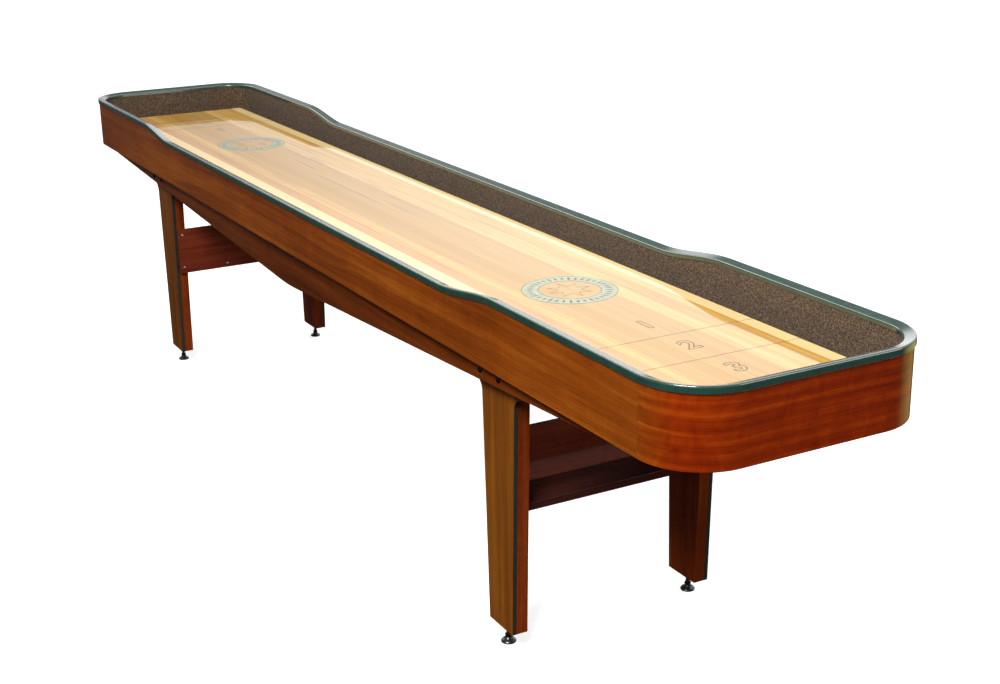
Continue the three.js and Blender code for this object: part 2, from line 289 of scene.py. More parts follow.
def hexagon(reach, start, end):
    """A nut: a six-sided slab, its corners at the reach, with its edges eased."""
    corners = [math.radians(60 * step) for step in range(6)]
    outline = [(reach * math.cos(angle), reach * math.sin(angle)) for angle in corners]
    return eased(prism(outline, end - start, "z", start), 0.6 * MM, 2)


def threaded(radius, start, end, depth=0.45 * MM, pitch=THREAD_PITCH, steps=28):
    """A screw thread along +Z that fades out at both ends."""
    levels = int((end - start) / pitch * 6)
    rings = []
    for level in range(levels + 1):
        z = start + (end - start) * level / levels
        fade = min(1, (z - start) / pitch, (end - z) / pitch)
        ring = []
        for step in range(steps):
            part = step / steps
            phase = (z / pitch - part) % 1
            reach = radius - depth * (1 - fade + fade * abs(2 * phase - 1))
            turn = 2 * math.pi * part
            ring.append(Vector((reach * math.cos(turn), reach * math.sin(turn), z)))
        rings.append(ring)
    return loft(rings)


def along_grain(mesh, axis, shift=0.0):
    """The grain runs along the given axis; the shift keeps two boards from looking the same."""
    order = {"x": (0, 2, 1), "y": (1, 0, 2), "z": (2, 0, 1)}[axis]
    return set_grain(mesh, lambda co: (co[order[0]] + shift, co[order[1]] + shift, co[order[2]]))


# ---------------------------------------------------------------- materials
class Nodes:
    """A small writer of shader node trees: each method returns an output socket."""

    def __init__(self, name):
        self.material = bpy.data.materials.new(name)
        self.material.use_nodes = True
        self.tree = self.material.node_tree
        self.tree.nodes.clear()
        self.shader = self.tree.nodes.new("ShaderNodeBsdfPrincipled")
        output = self.tree.nodes.new("ShaderNodeOutputMaterial")
        self.tree.links.new(self.shader.outputs[0], output.inputs[0])

    def link(self, node, index, value):
        socket = node.inputs[index]
        if isinstance(value, bpy.types.NodeSocket):
            self.tree.links.new(value, socket)
        elif value is not None:
            socket.default_value = value

    def math(self, operation, a, b=None, c=None):
        node = self.tree.nodes.new("ShaderNodeMath")
        node.operation = operation
        for index, value in enumerate((a, b, c)):
            self.link(node, index, value)
        return node.outputs[0]

    def place(self):
        node = self.tree.nodes.new("ShaderNodeAttribute")
        node.attribute_name = "grain"
        return node.outputs["Vector"]

    def objects(self):
        return self.tree.nodes.new("ShaderNodeTexCoord").outputs["Object"]

    def split(self, value):
        node = self.tree.nodes.new("ShaderNodeSeparateXYZ")
        self.link(node, 0, value)
        return node.outputs[0], node.outputs[1], node.outputs[2]

    def join(self, x, y, z=0.0):
        node = self.tree.nodes.new("ShaderNodeCombineXYZ")
        for index, value in enumerate((x, y, z)):
            self.link(node, index, value)
        return node.outputs[0]

    def scaled(self, value, scale):
        node = self.tree.nodes.new("ShaderNodeVectorMath")
        node.operation = "MULTIPLY"
        self.link(node, 0, value)
        self.link(node, 1, scale)
        return node.outputs[0]

    def noise(self, value, scale=1.0, detail=3.0, rough=0.55, distortion=0.0):
        node = self.tree.nodes.new("ShaderNodeTexNoise")
        self.link(node, "Vector", value)
        self.link(node, "Scale", scale)
        self.link(node, "Detail", detail)
        self.link(node, "Roughness", rough)
        self.link(node, "Distortion", distortion)
        return node.outputs["Fac"]

    def random(self, value):
        node = self.tree.nodes.new("ShaderNodeTexWhiteNoise")
        self.link(node, "Vector", value)
        return node.outputs["Value"]

    def cells(self, value, scale, output="Distance"):
        node = self.tree.nodes.new("ShaderNodeTexVoronoi")
        self.link(node, "Vector", value)
        self.link(node, "Scale", scale)
        return node.outputs[output]

    def ramp(self, value, stops, mode="LINEAR"):
        node = self.tree.nodes.new("ShaderNodeValToRGB")
        node.color_ramp.interpolation = mode
        elements = node.color_ramp.elements
        for index, (place, colour) in enumerate(stops):
            element = elements[index] if index < 2 else elements.new(place)
            element.position = place
            element.color = (*colour, 1)
        self.link(node, 0, value)
        return node.outputs[0]

    def span(self, value, low_in, high_in, low_out=0.0, high_out=1.0):
        node = self.tree.nodes.new("ShaderNodeMapRange")
        for index, number in enumerate((value, low_in, high_in, low_out, high_out)):
            self.link(node, index, number)
        return node.outputs[0]

    def mix(self, part, a, b):
        node = self.tree.nodes.new("ShaderNodeMix")
        node.data_type = "RGBA"
        for socket, value in ((node.inputs[0], part), (node.inputs[6], a), (node.inputs[7], b)):
            if isinstance(value, bpy.types.NodeSocket):
                self.tree.links.new(value, socket)
            elif isinstance(value, (int, float)):
                socket.default_value = value
            else:
                socket.default_value = (*value, 1)
        return node.outputs[2]

    def bump(self, height, distance, strength):
        node = self.tree.nodes.new("ShaderNodeBump")
        node.inputs["Strength"].default_value = strength
        node.inputs["Distance"].default_value = distance
        self.link(node, "Height", height)
        return node.outputs[0]

    def finish(self, colour, roughness, normal=None, **plain):
        """Sets the shader. Values that are the same all over are set on its own sockets."""
        names = {"coat": "Coat Weight", "coat_roughness": "Coat Roughness", "metal": "Metallic",
                 "sheen": "Sheen Weight", "sheen_roughness": "Sheen Roughness",
                 "specular": "Specular IOR Level", "coat_ior": "Coat IOR"}
        self.link(self.shader, "Base Color", colour)
        self.link(self.shader, "Roughness", roughness)
        if normal is not None:
            self.link(self.shader, "Normal", normal)
        for key, value in plain.items():
            self.shader.inputs[names[key]].default_value = value
        return self.material


def stained_wood(name, dark, mid, light, gloss=0.28, figure=0.35, coat=0.30, ends=None):
    """Stained and lacquered veneer. The grain attribute runs along x.

    Ends, if given, are the colours that the stain shades into at both ends of a bent panel.
    """
    nodes = Nodes(name)
    place = nodes.place()
    warp = nodes.noise(nodes.scaled(place, (1.6, 7.0, 7.0)), 1.0, 2.0)
    along, across, depth = nodes.split(place)
    bent = nodes.math("MULTIPLY_ADD", warp, 0.05, across)
    bands = nodes.noise(nodes.join(nodes.math("MULTIPLY", along, 1.1), nodes.math("MULTIPLY", bent, 42.0),
                                   nodes.math("MULTIPLY", depth, 42.0)), 1.0, 4.0, 0.6)
    fibre = nodes.noise(nodes.scaled(place, (9.0, 620.0, 620.0)), 1.0, 3.0, 0.65)
    pores = nodes.noise(nodes.scaled(place, (28.0, 1500.0, 1500.0)), 1.0, 1.0, 0.5)
    curl = nodes.noise(nodes.scaled(place, (26.0, 9.0, 9.0)), 1.0, 3.0, 0.6, 1.4)
    patch = nodes.noise(nodes.scaled(place, (3.0, 5.0, 5.0)), 1.0, 2.0)
    tone = nodes.math("MULTIPLY", bands, 0.62)
    tone = nodes.math("MULTIPLY_ADD", fibre, 0.22, tone)
    tone = nodes.math("MULTIPLY_ADD", curl, figure, tone)
    tone = nodes.math("MULTIPLY_ADD", patch, 0.28, tone)
    centre = (0.62 + 0.22 + figure + 0.28) / 2
    spread = nodes.span(tone, centre - 0.17, centre + 0.17)
    colour = nodes.ramp(spread, [(0.0, dark), (1.0, light), (0.5, mid)])
    if ends:
        reach = CENTRE_Y + CORNER_RADIUS * math.pi / 2
        part = nodes.span(nodes.math("ABSOLUTE", along), reach - 0.085, reach - 0.005, 0.0, 0.85)
        shade = nodes.ramp(spread, [(0.0, ends[0]), (1.0, ends[2]), (0.5, ends[1])])
        colour = nodes.mix(part, colour, shade)
    pits = nodes.span(pores, 0.60, 0.70)
    colour = nodes.mix(nodes.math("MULTIPLY", pits, 0.35), colour, [value * 0.45 for value in dark])
    height = nodes.math("MULTIPLY_ADD", pits, -0.6, nodes.math("MULTIPLY", fibre, 0.5))
    normal = nodes.bump(height, 0.00008, 0.5)
    roughness = nodes.span(fibre, 0.3, 0.7, gloss - 0.05, gloss + 0.07)
    return nodes.finish(colour, roughness, normal, coat=coat, coat_roughness=0.07, specular=0.15)


def maple_strips(name):
    """Edge-glued maple strips under clear poured epoxy. x is along the table."""
    nodes = Nodes(name)
    place = nodes.objects()
    x, y, z = nodes.split(place)
    strip = 0.0354
    row = nodes.math("DIVIDE", y, strip)
    index = nodes.math("FLOOR", row)
    inside = nodes.math("FRACT", row)
    pick = nodes.random(nodes.join(index, 2.5, 0.5))
    other = nodes.random(nodes.join(8.5, index, 7.5))
    cream = (0.74, 0.48, 0.155)
    pink = (0.64, 0.32, 0.100)
    straw = (0.72, 0.44, 0.112)
    gold = (0.47, 0.26, 0.042)
    tan = (0.53, 0.31, 0.074)
    strips = [(0.0, cream), (0.25, pink), (0.42, straw), (0.60, tan), (0.75, cream), (0.90, gold)]
    colour = nodes.ramp(pick, strips, "CONSTANT")
    offset = nodes.join(nodes.math("MULTIPLY_ADD", pick, 7.0, x),
                        nodes.math("MULTIPLY_ADD", other, 5.0, y), z)
    bands = nodes.noise(nodes.scaled(offset, (0.9, 60.0, 60.0)), 1.0, 4.0, 0.6)
    fibre = nodes.noise(nodes.scaled(offset, (5.0, 500.0, 500.0)), 1.0, 3.0, 0.6)
    blush = nodes.noise(nodes.scaled(offset, (1.8, 34.0, 34.0)), 1.0, 3.0, 0.55, 0.6)
    streak = nodes.noise(nodes.scaled(offset, (1.6, 90.0, 90.0)), 1.0, 2.0, 0.5, 0.3)
    colour = nodes.mix(nodes.span(bands, 0.40, 0.66, 0.0, 0.70), colour, (0.49, 0.25, 0.050))
    colour = nodes.mix(nodes.span(blush, 0.50, 0.70, 0.0, 0.70), colour, (0.48, 0.21, 0.060))
    colour = nodes.mix(nodes.span(fibre, 0.30, 0.75, 0.0, 0.22), colour, (0.32, 0.18, 0.050))
    colour = nodes.mix(nodes.span(streak, 0.62, 0.74, 0.0, 0.60), colour, (0.21, 0.13, 0.050))
    # The outermost strip on each side is paler wood; its colour is raised further as a painted reflection, so
    # that it stays bright in the shade of the side wall.
    rim = nodes.math("COMPARE", nodes.math("ABSOLUTE", nodes.math("ADD", index, 0.5)), 5.5, 0.4)
    colour = nodes.mix(nodes.math("MULTIPLY", rim, 0.75), colour, (0.92, 0.70, 0.34))
    edge = nodes.math("ABSOLUTE", nodes.math("SUBTRACT", inside, 0.5))
    seam = nodes.span(edge, 0.488, 0.499, 0.0, 0.35)
    colour = nodes.mix(seam, colour, (0.26, 0.16, 0.05))
    pour = nodes.noise(nodes.scaled(place, (9.0, 9.0, 9.0)), 1.0, 1.0)
    normal = nodes.bump(pour, 0.0002, 0.15)
    return nodes.finish(colour, 0.35, normal, coat=1.0, coat_roughness=0.02, specular=0.0)


TUFT_SCALE = 540.0


def carpet_pile(name):
    """Short cut pile in mixed browns and greys."""
    nodes = Nodes(name)
    place = nodes.objects()
    tuft = nodes.cells(place, TUFT_SCALE, "Color")
    red, green, _ = nodes.split(tuft)
    mixed = nodes.noise(place, 230.0, 3.0, 0.7)
    tone = nodes.math("ADD", nodes.math("MULTIPLY", red, 0.6), nodes.math("MULTIPLY", mixed, 0.6))
    colour = nodes.ramp(tone, [(0.12, (0.012, 0.006, 0.003)), (1.0, (0.42, 0.28, 0.15)),
                               (0.45, (0.062, 0.038, 0.023)), (0.72, (0.15, 0.098, 0.060))])
    tint = nodes.span(green, 0.0, 1.0, 0.0, 0.30)
    colour = nodes.mix(tint, colour, (0.085, 0.062, 0.058))
    worn = nodes.noise(place, 7.0, 3.0, 0.5)
    colour = nodes.mix(nodes.span(worn, 0.35, 0.7, 0.0, 0.22), colour, (0.10, 0.068, 0.045))
    loops = nodes.cells(place, TUFT_SCALE)
    height = nodes.math("MULTIPLY_ADD", loops, -0.8, mixed)
    normal = nodes.bump(height, 0.0018, 0.9)
    return nodes.finish(colour, 0.95, normal, sheen=0.06, sheen_roughness=0.5, specular=0.05)


def moulded(name, colour, gloss, coat=0.0, coat_ior=1.5):
    """Moulded plastic or vinyl, with faint mottling, fine scuffs and a soft surface wave."""
    nodes = Nodes(name)
    place = nodes.objects()
    mottle = nodes.noise(place, 35.0, 3.0, 0.6)
    scuff = nodes.noise(nodes.scaled(place, (60.0, 400.0, 400.0)), 1.0, 3.0, 0.7)
    tone = nodes.mix(nodes.span(mottle, 0.3, 0.7), [v * 0.82 for v in colour], [v * 1.18 for v in colour])
    tone = nodes.mix(nodes.span(scuff, 0.62, 0.8, 0.0, 0.3), tone, [min(1, v * 1.6 + 0.01) for v in colour])
    pebble = nodes.cells(place, 900.0)
    normal = nodes.bump(nodes.math("MULTIPLY_ADD", mottle, 2.0, pebble), 0.00004, 0.35)
    roughness = nodes.span(scuff, 0.3, 0.8, gloss, gloss + 0.14)
    return nodes.finish(tone, roughness, normal, coat=coat, coat_roughness=0.10, coat_ior=coat_ior)


def steel(name, colour, gloss):
    """Plated steel with drawn lines, small stains and uneven gloss."""
    nodes = Nodes(name)
    place = nodes.objects()
    lines = nodes.noise(nodes.scaled(place, (300.0, 300.0, 2600.0)), 1.0, 2.0)
    stain = nodes.noise(place, 140.0, 4.0, 0.65)
    tone = nodes.mix(nodes.span(stain, 0.45, 0.75, 0.0, 0.55), colour, [v * 0.5 for v in colour])
    normal = nodes.bump(lines, 0.00003, 0.5)
    roughness = nodes.span(stain, 0.3, 0.8, gloss, gloss + 0.25)
    return nodes.finish(tone, roughness, normal, metal=1.0)


def plain_wood(name, dark, light):
    """Unfinished support timber and plywood, seen only from below."""
    nodes = Nodes(name)
    place = nodes.place()
    bands = nodes.noise(nodes.scaled(place, (1.2, 26.0, 26.0)), 1.0, 4.0, 0.6, 0.5)
    fibre = nodes.noise(nodes.scaled(place, (10.0, 420.0, 420.0)), 1.0, 3.0, 0.65)
    tone = nodes.math("ADD", nodes.math("MULTIPLY", bands, 0.7), nodes.math("MULTIPLY", fibre, 0.35))
    colour = nodes.ramp(nodes.span(tone, 0.35, 0.7), [(0.0, dark), (1.0, light)])
    normal = nodes.bump(fibre, 0.0003, 0.6)
    return nodes.finish(colour, 0.7, normal, specular=0.3)


CHERRY_TONES = [(0.122, 0.024, 0.001), (0.240, 0.050, 0.003), (0.37, 0.098, 0.007)]
CHERRY = stained_wood("cherry_side", *CHERRY_TONES, figure=0.10)
CHERRY_END = stained_wood("cherry_end", (0.13, 0.010, 0.001), (0.235, 0.020, 0.001), (0.37, 0.048, 0.002),
                          figure=0.28, ends=CHERRY_TONES)
LEG_WOOD = stained_wood("leg_veneer", (0.125, 0.034, 0.004), (0.205, 0.060, 0.006), (0.295, 0.098, 0.010),
                        figure=0.08)
RED_WOOD = stained_wood("red_stain", (0.098, 0.012, 0.002), (0.195, 0.029, 0.004), (0.30, 0.060, 0.008),
                        figure=0.12)
EDGE_BAND = moulded("edge_band", (0.018, 0.020, 0.014), 0.42)
RAIL_VINYL = moulded("rail_vinyl", (0.016, 0.053, 0.037), 0.24, coat=1.0, coat_ior=1.7)
PAD_BLACK = moulded("pad_black", (0.010, 0.014, 0.011), 0.26, coat=0.5)
CARPET = carpet_pile("carpet_pile")
MAPLE = maple_strips("maple_strips")
# Painted shade: the bottom board's colours are darkened to near black for the shade under the cabinet.
SHADED_UNDERSIDE = plain_wood("underside_ply_painted_shade", (0.035, 0.012, 0.006), (0.085, 0.032, 0.016))
SUPPORT = plain_wood("support_timber", (0.42, 0.27, 0.14), (0.66, 0.47, 0.27))
ZINC = steel("zinc_plate", (0.62, 0.62, 0.60), 0.25)
DARK_STEEL = steel("dark_bolt", (0.030, 0.026, 0.023), 0.45)
INK = moulded("line_ink", (0.060, 0.055, 0.038), 0.45, coat=0.25)
EMBLEM_INK = moulded("emblem_ink", (0.050, 0.080, 0.050), 0.45, coat=0.4)
EMBLEM_PALE = moulded("emblem_pale", (0.27, 0.30, 0.140), 0.35, coat=1.0)
APRON_WOOD = stained_wood("apron_veneer", (0.062, 0.011, 0.001), (0.125, 0.024, 0.002), (0.19, 0.040, 0.004),
                          figure=0.10)
CROSS_WOOD = stained_wood("cross_stain", (0.075, 0.011, 0.005), (0.15, 0.023, 0.009), (0.23, 0.042, 0.015),
                          figure=0.10)
# Painted shade: the shelf boards get near-black colours for the shade under the table, though the wood itself
# is paler.
SHADED_SHELF_WOOD = stained_wood("shelf_wood_painted_shade", (0.028, 0.007, 0.005), (0.058, 0.014, 0.010), (0.095, 0.026, 0.016),
                          figure=0.10)


# ---------------------------------------------------------------- cabinet walls and rails
def rail_top(x):
    """The rail's top line: low in the middle, high at both ends, with a smooth bend between."""
    part = min(max((abs(x) - BEND_START) / (BEND_END - BEND_START), 0), 1)
    lowest = high("rail_left")[2] - RAIL_DIP
    return lowest + (RAIL_TOP_HIGH - lowest) * part * part * (3 - 2 * part)


def side_stations():
    """x stations along a side wall, close together in the bends."""
    bend = [BEND_START + (BEND_END - BEND_START) * step / 24 for step in range(25)]
    plain = [BEND_START * step / 6 for step in range(1, 6)]
    outer = [BEND_END + (JOINT_X - GAP - BEND_END) * step / 4 for step in range(1, 5)]
    right = [*plain, *bend, *outer]
    return [*[-x for x in reversed(right)], 0.0, *right]


def end_path(inset, straight=4, steps=24):
    """Points, normals and lengths round the near end, a distance inside the cabinet's outer face."""
    radius = CORNER_RADIUS - inset
    path = []
    for side, start in ((-1, -math.pi / 2), (1, 0.0)):
        for step in range(steps + 1):
            angle = start + math.pi / 2 * step / steps
            normal = Vector((math.cos(angle), math.sin(angle), 0))
            point = Vector((JOINT_X, side * CENTRE_Y, 0)) + normal * radius
            path.append((point, normal, side * CENTRE_Y + CORNER_RADIUS * angle))
        if side < 0:
            for step in range(1, straight + 1):
                part = step / (straight + 1)
                y = -CENTRE_Y + 2 * CENTRE_Y * part
                path.append((Vector((JOINT_X + radius, y, 0)), Vector((1, 0, 0)), y))
    return path


def rounded_section(width, height, rounds, steps=4):
    """A rectangle (0..width, 0..height) with its corners rounded, in order from the origin."""
    corners = [((0, 0), (1, 1), math.pi), ((width, 0), (-1, 1), 1.5 * math.pi),
               ((width, height), (-1, -1), 0.0), ((0, height), (1, -1), 0.5 * math.pi)]
    section = []
    for (corner, inward, start), radius in zip(corners, rounds):
        centre = (corner[0] + inward[0] * radius, corner[1] + inward[1] * radius)
        for step in range(steps + 1):
            angle = start + math.pi / 2 * step / steps
            section.append((centre[0] + radius * math.cos(angle), centre[1] + radius * math.sin(angle)))
    return section


def wall_ring(point, inward, bottom, top, thickness, ease):
    """One cross-section of a wall: inward from the point, between two heights."""
    section = rounded_section(thickness, top - bottom, [ease] * 4)
    return [point + inward * a + Vector((0, 0, bottom + b)) for a, b in section]


def side_wall(side, face, thickness, bottom, clearance, ease):
    rings = []
    for x in side_stations():
        point = Vector((x, side * face, 0))
        top = rail_top(x) - clearance
        rings.append(wall_ring(point, Vector((0, -side, 0)), bottom, top, thickness, ease))
    return loft(rings)


def end_wall(turn, inset, thickness, bottom, top, ease):
    rings = []
    grains = []
    for point, normal, length in end_path(inset):
        ring = wall_ring(point, -normal, bottom, top, thickness, ease)
        grains.append([(length, corner.z, 0.01 * index) for index, corner in enumerate(ring)])
        rings.append(ring)
    return moved(loft(rings, grains=grains), turn=turn)


def rail_section():
    """The rail's section as (outward, up) from its crest: flat underneath, its top falling inwards."""
    outer, inner = RAIL_WIDTH / 2, -RAIL_WIDTH / 2
    ease = 0.8 * MM
    down = Vector((0, -1))
    fall = Vector((-RAIL_WIDTH, RAIL_INNER_HEIGHT - RAIL_HEIGHT)).normalized()
    corners = [(Vector((outer, RAIL_HEIGHT)), down, fall, RAIL_ROUND_OUTER),
               (Vector((inner, RAIL_INNER_HEIGHT)), -fall, down, RAIL_ROUND_INNER)]
    section = [(inner + ease, 0), (outer - ease, 0), (outer, ease)]
    for corner, before, after, reach in corners:
        start, end = corner + before * reach, corner + after * reach
        for step in range(9):
            part = step / 8
            point = start * (1 - part) ** 2 + corner * (2 * part * (1 - part)) + end * part ** 2
            section.append(tuple(point))
    section.append((inner, ease))
    crest = max(up for _, up in section)
    return [(out, up - crest) for out, up in section]


RAIL_SECTION = rail_section()
RAIL_DEPTH = -min(up for _, up in RAIL_SECTION)


def rail_ring(point, outward, up):
    return [point + outward * a + up * b for a, b in RAIL_SECTION]


def build_cabinet():
    wall_top = high("end_cap_near")[2]
    for name, side in SIDES:
        mesh = side_wall(side, HALF_WIDTH, WALL, CABINET_LOW, RAIL_DEPTH + 0.5 * MM, 1.5 * MM)
        set_grain(mesh, lambda co: (co.x, co.z + 3 * side, co.y))
        skin(f"side_skin_{name}", mesh, f"side_panel_{name}", CHERRY)
        liner_face = high(f"carpet_liner_{name}")[1] if side > 0 else -low(f"carpet_liner_{name}")[1]
        liner = side_wall(side, liner_face, LINER, FLOOR_TOP + GAP, RAIL_DEPTH + 0.5 * MM, 1 * MM)
        skin(f"carpet_wall_{name}", liner, f"carpet_liner_{name}", CARPET)
        rings = []
        for x in side_stations():
            step = 1e-4
            along = Vector((2 * step, 0, rail_top(x + step) - rail_top(x - step))).normalized()
            outward = Vector((0, side, 0))
            up = Vector((-along.z, 0, along.x))
            crest = Vector((x, side * (HALF_WIDTH + RAIL_OVERHANG - RAIL_WIDTH / 2), rail_top(x)))
            rings.append(rail_ring(crest, outward, up))
        skin(f"rail_skin_{name}", loft(rings), f"rail_{name}", RAIL_VINYL)
    for name, end in ENDS:
        turn = 0 if end > 0 else math.pi
        cap = end_wall(turn, 0, WALL, CABINET_LOW, wall_top, 1.5 * MM)
        skin(f"end_skin_{name}", cap, f"end_cap_{name}", CHERRY_END)
        inset = WALL + GAP
        liner = end_wall(turn, inset, LINER, FLOOR_TOP + GAP, wall_top, 1 * MM)
        skin(f"carpet_wall_{name}", liner, f"carpet_liner_{name}", CARPET)
        rings = []
        for point, normal, _ in end_path(RAIL_WIDTH / 2 - RAIL_OVERHANG):
            rings.append(rail_ring(point + Vector((0, 0, RAIL_TOP_HIGH)), normal, Vector((0, 0, 1))))
        mesh = moved(loft(rings), turn=turn)
        skin(f"rail_skin_{name}", mesh, f"rail_{name}", RAIL_VINYL)


def floor_outline(inset):
    near = [(point.x, point.y) for point, _, _ in end_path(inset, 0, 16)]
    return [*near, *[(-x, -y) for x, y in near]]


def build_floor():
    panel = eased(prism(floor_outline(WALL + GAP), FLOOR_TOP - CABINET_LOW, "z", CABINET_LOW), 0.8 * MM)
    set_grain(panel, lambda co: (co.x, co.y, co.z))
    skin("bottom_board", panel, "bottom_panel", SHADED_UNDERSIDE)
    bottom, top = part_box("gutter_carpet")
    inset = HALF_LENGTH - top[0]
    carpet = eased(prism(floor_outline(inset), top[2] - bottom[2], "z", bottom[2]), 1 * MM)
    skin("carpet_floor", carpet, "gutter_carpet", CARPET)
    for index in range(1, 6):
        cleat = eased(block(*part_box(f"playfield_cleat_{index}")), 1.2 * MM)
        set_grain(cleat, lambda co: (co.y + index, co.x, co.z))
        skin(f"cleat_{index}", cleat, f"playfield_cleat_{index}", SUPPORT)


# ---------------------------------------------------------------- playfield and its markings
MARK_HEIGHT = 0.15 * MM
NUMERAL_HEIGHT = 0.049
EMBLEM_X = 0.99
EMBLEM_RADIUS = 0.0888
STROKE = 0.0024


def ribbon(points, width, closed=False):
    """A flat strip of even width along points in the plane, as a thin slab on the playfield."""
    inner = []
    outer = []
    count = len(points)
    for index, point in enumerate(points):
        before = points[index - 1] if index or closed else point
        after = points[(index + 1) % count] if index < count - 1 or closed else point
        direction = (Vector(after) - Vector(before)).normalized()
        side = Vector((-direction.y, direction.x)) * width / 2
        inner.append(Vector(point) - side)
        outer.append(Vector(point) + side)
    rings = []
    for a, b in zip(inner, outer):
        rings.append([Vector((a.x, a.y, 0)), Vector((b.x, b.y, 0)),
                      Vector((b.x, b.y, MARK_HEIGHT)), Vector((a.x, a.y, MARK_HEIGHT))])
    return loft(rings, closed=closed)


def arc(centre, radius, start, end, steps=20):
    angles = [math.radians(start + (end - start) * step / steps) for step in range(steps + 1)]
    return [(centre[0] + radius * math.cos(a), centre[1] + radius * math.sin(a)) for a in angles]


def build_playfield():
    field = eased(block(FIELD_LOW, FIELD_HIGH), 1.2 * MM, 4)
    skin("playfield_board", field, "playfield", MAPLE)


def score_lines(end):
    width = FIELD_HIGH[1]
    lines = []
    for zone in (1, 2):
        x = end * (FIELD_HIGH[0] - zone * SCORE_ZONE)
        lines.append(ribbon([(x, -width), (x, 0), (x, width)], 1.3 * MM))
    return joined(lines)


def numeral(digit):
    """An outlined figure, upright as seen from the near end of the table."""
    curve = bpy.data.curves.new(f"numeral_{digit}", "FONT")
    curve.body = str(digit)
    curve.size = NUMERAL_HEIGHT / 0.70
    curve.offset = 0.0016
    curve.align_x = "CENTER"
    curve.align_y = "CENTER"
    curve.fill_mode = "NONE"
    curve.bevel_depth = STROKE / 2
    curve.bevel_resolution = 1
    obj = bpy.data.objects.new("numeral", curve)
    bpy.context.collection.objects.link(obj)
    bpy.context.view_layer.update()
    mesh = bpy.data.meshes.new_from_object(obj.evaluated_get(bpy.context.evaluated_depsgraph_get()))
    bpy.data.objects.remove(obj)
    mesh.materials.clear()
    mesh.transform(Matrix.Diagonal((1, 1, 2 * MARK_HEIGHT / STROKE, 1)))
    return moved(mesh, turn=math.pi / 2)


def star(points, outer, inner):
    count = 2 * points
    angles = [math.pi * step / points for step in range(count)]
    reach = [outer if step % 2 == 0 else inner for step in range(count)]
    return [(r * math.cos(a), r * math.sin(a)) for r, a in zip(reach, angles)]


def emblem():
    """A round ornament: a pale band with lozenges between two fine rings, round a plain star."""
    band = [ribbon(arc((0, 0), EMBLEM_RADIUS, 0, 360, 96)[:-1], 0.035, closed=True)]
    trim = [ribbon(arc((0, 0), radius, 0, 360, 96)[:-1], 1.4 * MM, closed=True) for radius in (0.107, 0.0705)]
    trim.append(ribbon(star(8, 0.052, 0.026), 1.3 * MM, closed=True))
    count = 36
    for step in range(count):
        tall = 0.0095 if step % 3 else 0.0125
        lozenge = prism([(tall, 0), (0, 0.0035), (-tall, 0), (0, -0.0035)], MARK_HEIGHT, "z", 0.0)
        lozenge.transform(Matrix.Translation((EMBLEM_RADIUS, 0, 0)))
        trim.append(moved(lozenge, turn=2 * math.pi * step / count))
    return joined(band), moved(joined(trim), (0, 0, MARK_HEIGHT / 2))


def build_markings():
    top = FIELD_HIGH[2]
    for name, end in ENDS:
        turn = 0 if end > 0 else math.pi
        lines = moved(score_lines(end), (0, 0, top))
        skin(f"score_lines_{name}", lines, (), INK)
        for digit in (1, 2, 3):
            x = FIELD_HIGH[0] - (3.5 - digit) * SCORE_ZONE - 4 * MM
            figure = moved(numeral(digit), (x, 0, top))
            skin(f"numeral_{digit}_{name}", moved(figure, turn=turn), (), INK)
        band, trim = emblem()
        for part, mesh, material in (("band", band, EMBLEM_PALE), ("trim", trim, EMBLEM_INK)):
            mesh = moved(moved(mesh, (EMBLEM_X, 0, top)), turn=turn)
            skin(f"emblem_{part}_{name}", mesh, (), material)


# ---------------------------------------------------------------- aprons
def bolt_cutters(nodes):
    """Rods along Y through the places of the given bolts."""
    cutters = []
    for node in nodes:
        place = centre(node)
        tool = moved(rod(BOLT_RADIUS + GAP, -0.4, 0.4), turn=math.pi / 2, axis="X")
        cutters.append(moved(tool, (place[0], 0, place[2])))
    return cutters


def apron_outline():
    end, top, bottom = high("apron_left")[0], high("apron_left")[2], low("apron_left")[2]
    end_low = top - APRON_END_DEPTH
    slope = (end_low - bottom) / end
    points = [(-end, top), (-end, end_low)]
    for step in range(-6, 7):
        x = APRON_KINK * step / 6
        points.append((x, bottom + slope * (x * x / APRON_KINK + APRON_KINK) / 2))
    return [*points, (end, end_low), (end, top)]


def build_aprons():
    for name, side in SIDES:
        bolts = [f"leg_bolt_{end}_{name}_{index}" for end, _ in ENDS for index in (1, 2)]
        start, stop = low(f"apron_{name}")[1], high(f"apron_{name}")[1]
        mesh = eased(prism(apron_outline(), stop - start, "y", start), 1 * MM, 3, 20, bolt_cutters(bolts))
        skin(f"apron_skin_{name}", along_grain(mesh, "x", 4.0 + side), f"apron_{name}",
             APRON_WOOD)


# ---------------------------------------------------------------- legs
def leg_board_outline():
    """Tapered to the foot, with a quarter-round flare up to a wide head."""
    right = [(LEG_HALF_BOTTOM, LEG_BOTTOM), (LEG_HALF_SHOULDER, LEG_SHOULDER)]
    for step in range(1, 17):
        angle = math.pi / 2 * step / 16
        right.append((LEG_HALF_SHOULDER + (LEG_HALF_HEAD - LEG_HALF_SHOULDER) * (1 - math.cos(angle)),
                      LEG_SHOULDER + (LEG_HEAD - LEG_SHOULDER) * math.sin(angle)))
    right.append((LEG_HALF_HEAD, LEG_TOP))
    return [*right, *[(-x, z) for x, z in reversed(right)]]


def leg_block_outline():
    top = LEG_HALF_BOTTOM + LEG_SLOPE * (LEG_TOP - LEG_BOTTOM)
    return [(LEG_HALF_BOTTOM, LEG_BOTTOM), (top, LEG_TOP), (-top, LEG_TOP), (-LEG_HALF_BOTTOM, LEG_BOTTOM)]


def band_edges(mesh, edge_material):
    """Gives the edges of an upright board their own dark band."""
    mesh.materials.append(edge_material)
    for polygon in mesh.polygons:
        polygon.material_index = 0 if abs(polygon.normal.y) > 0.8 else 1


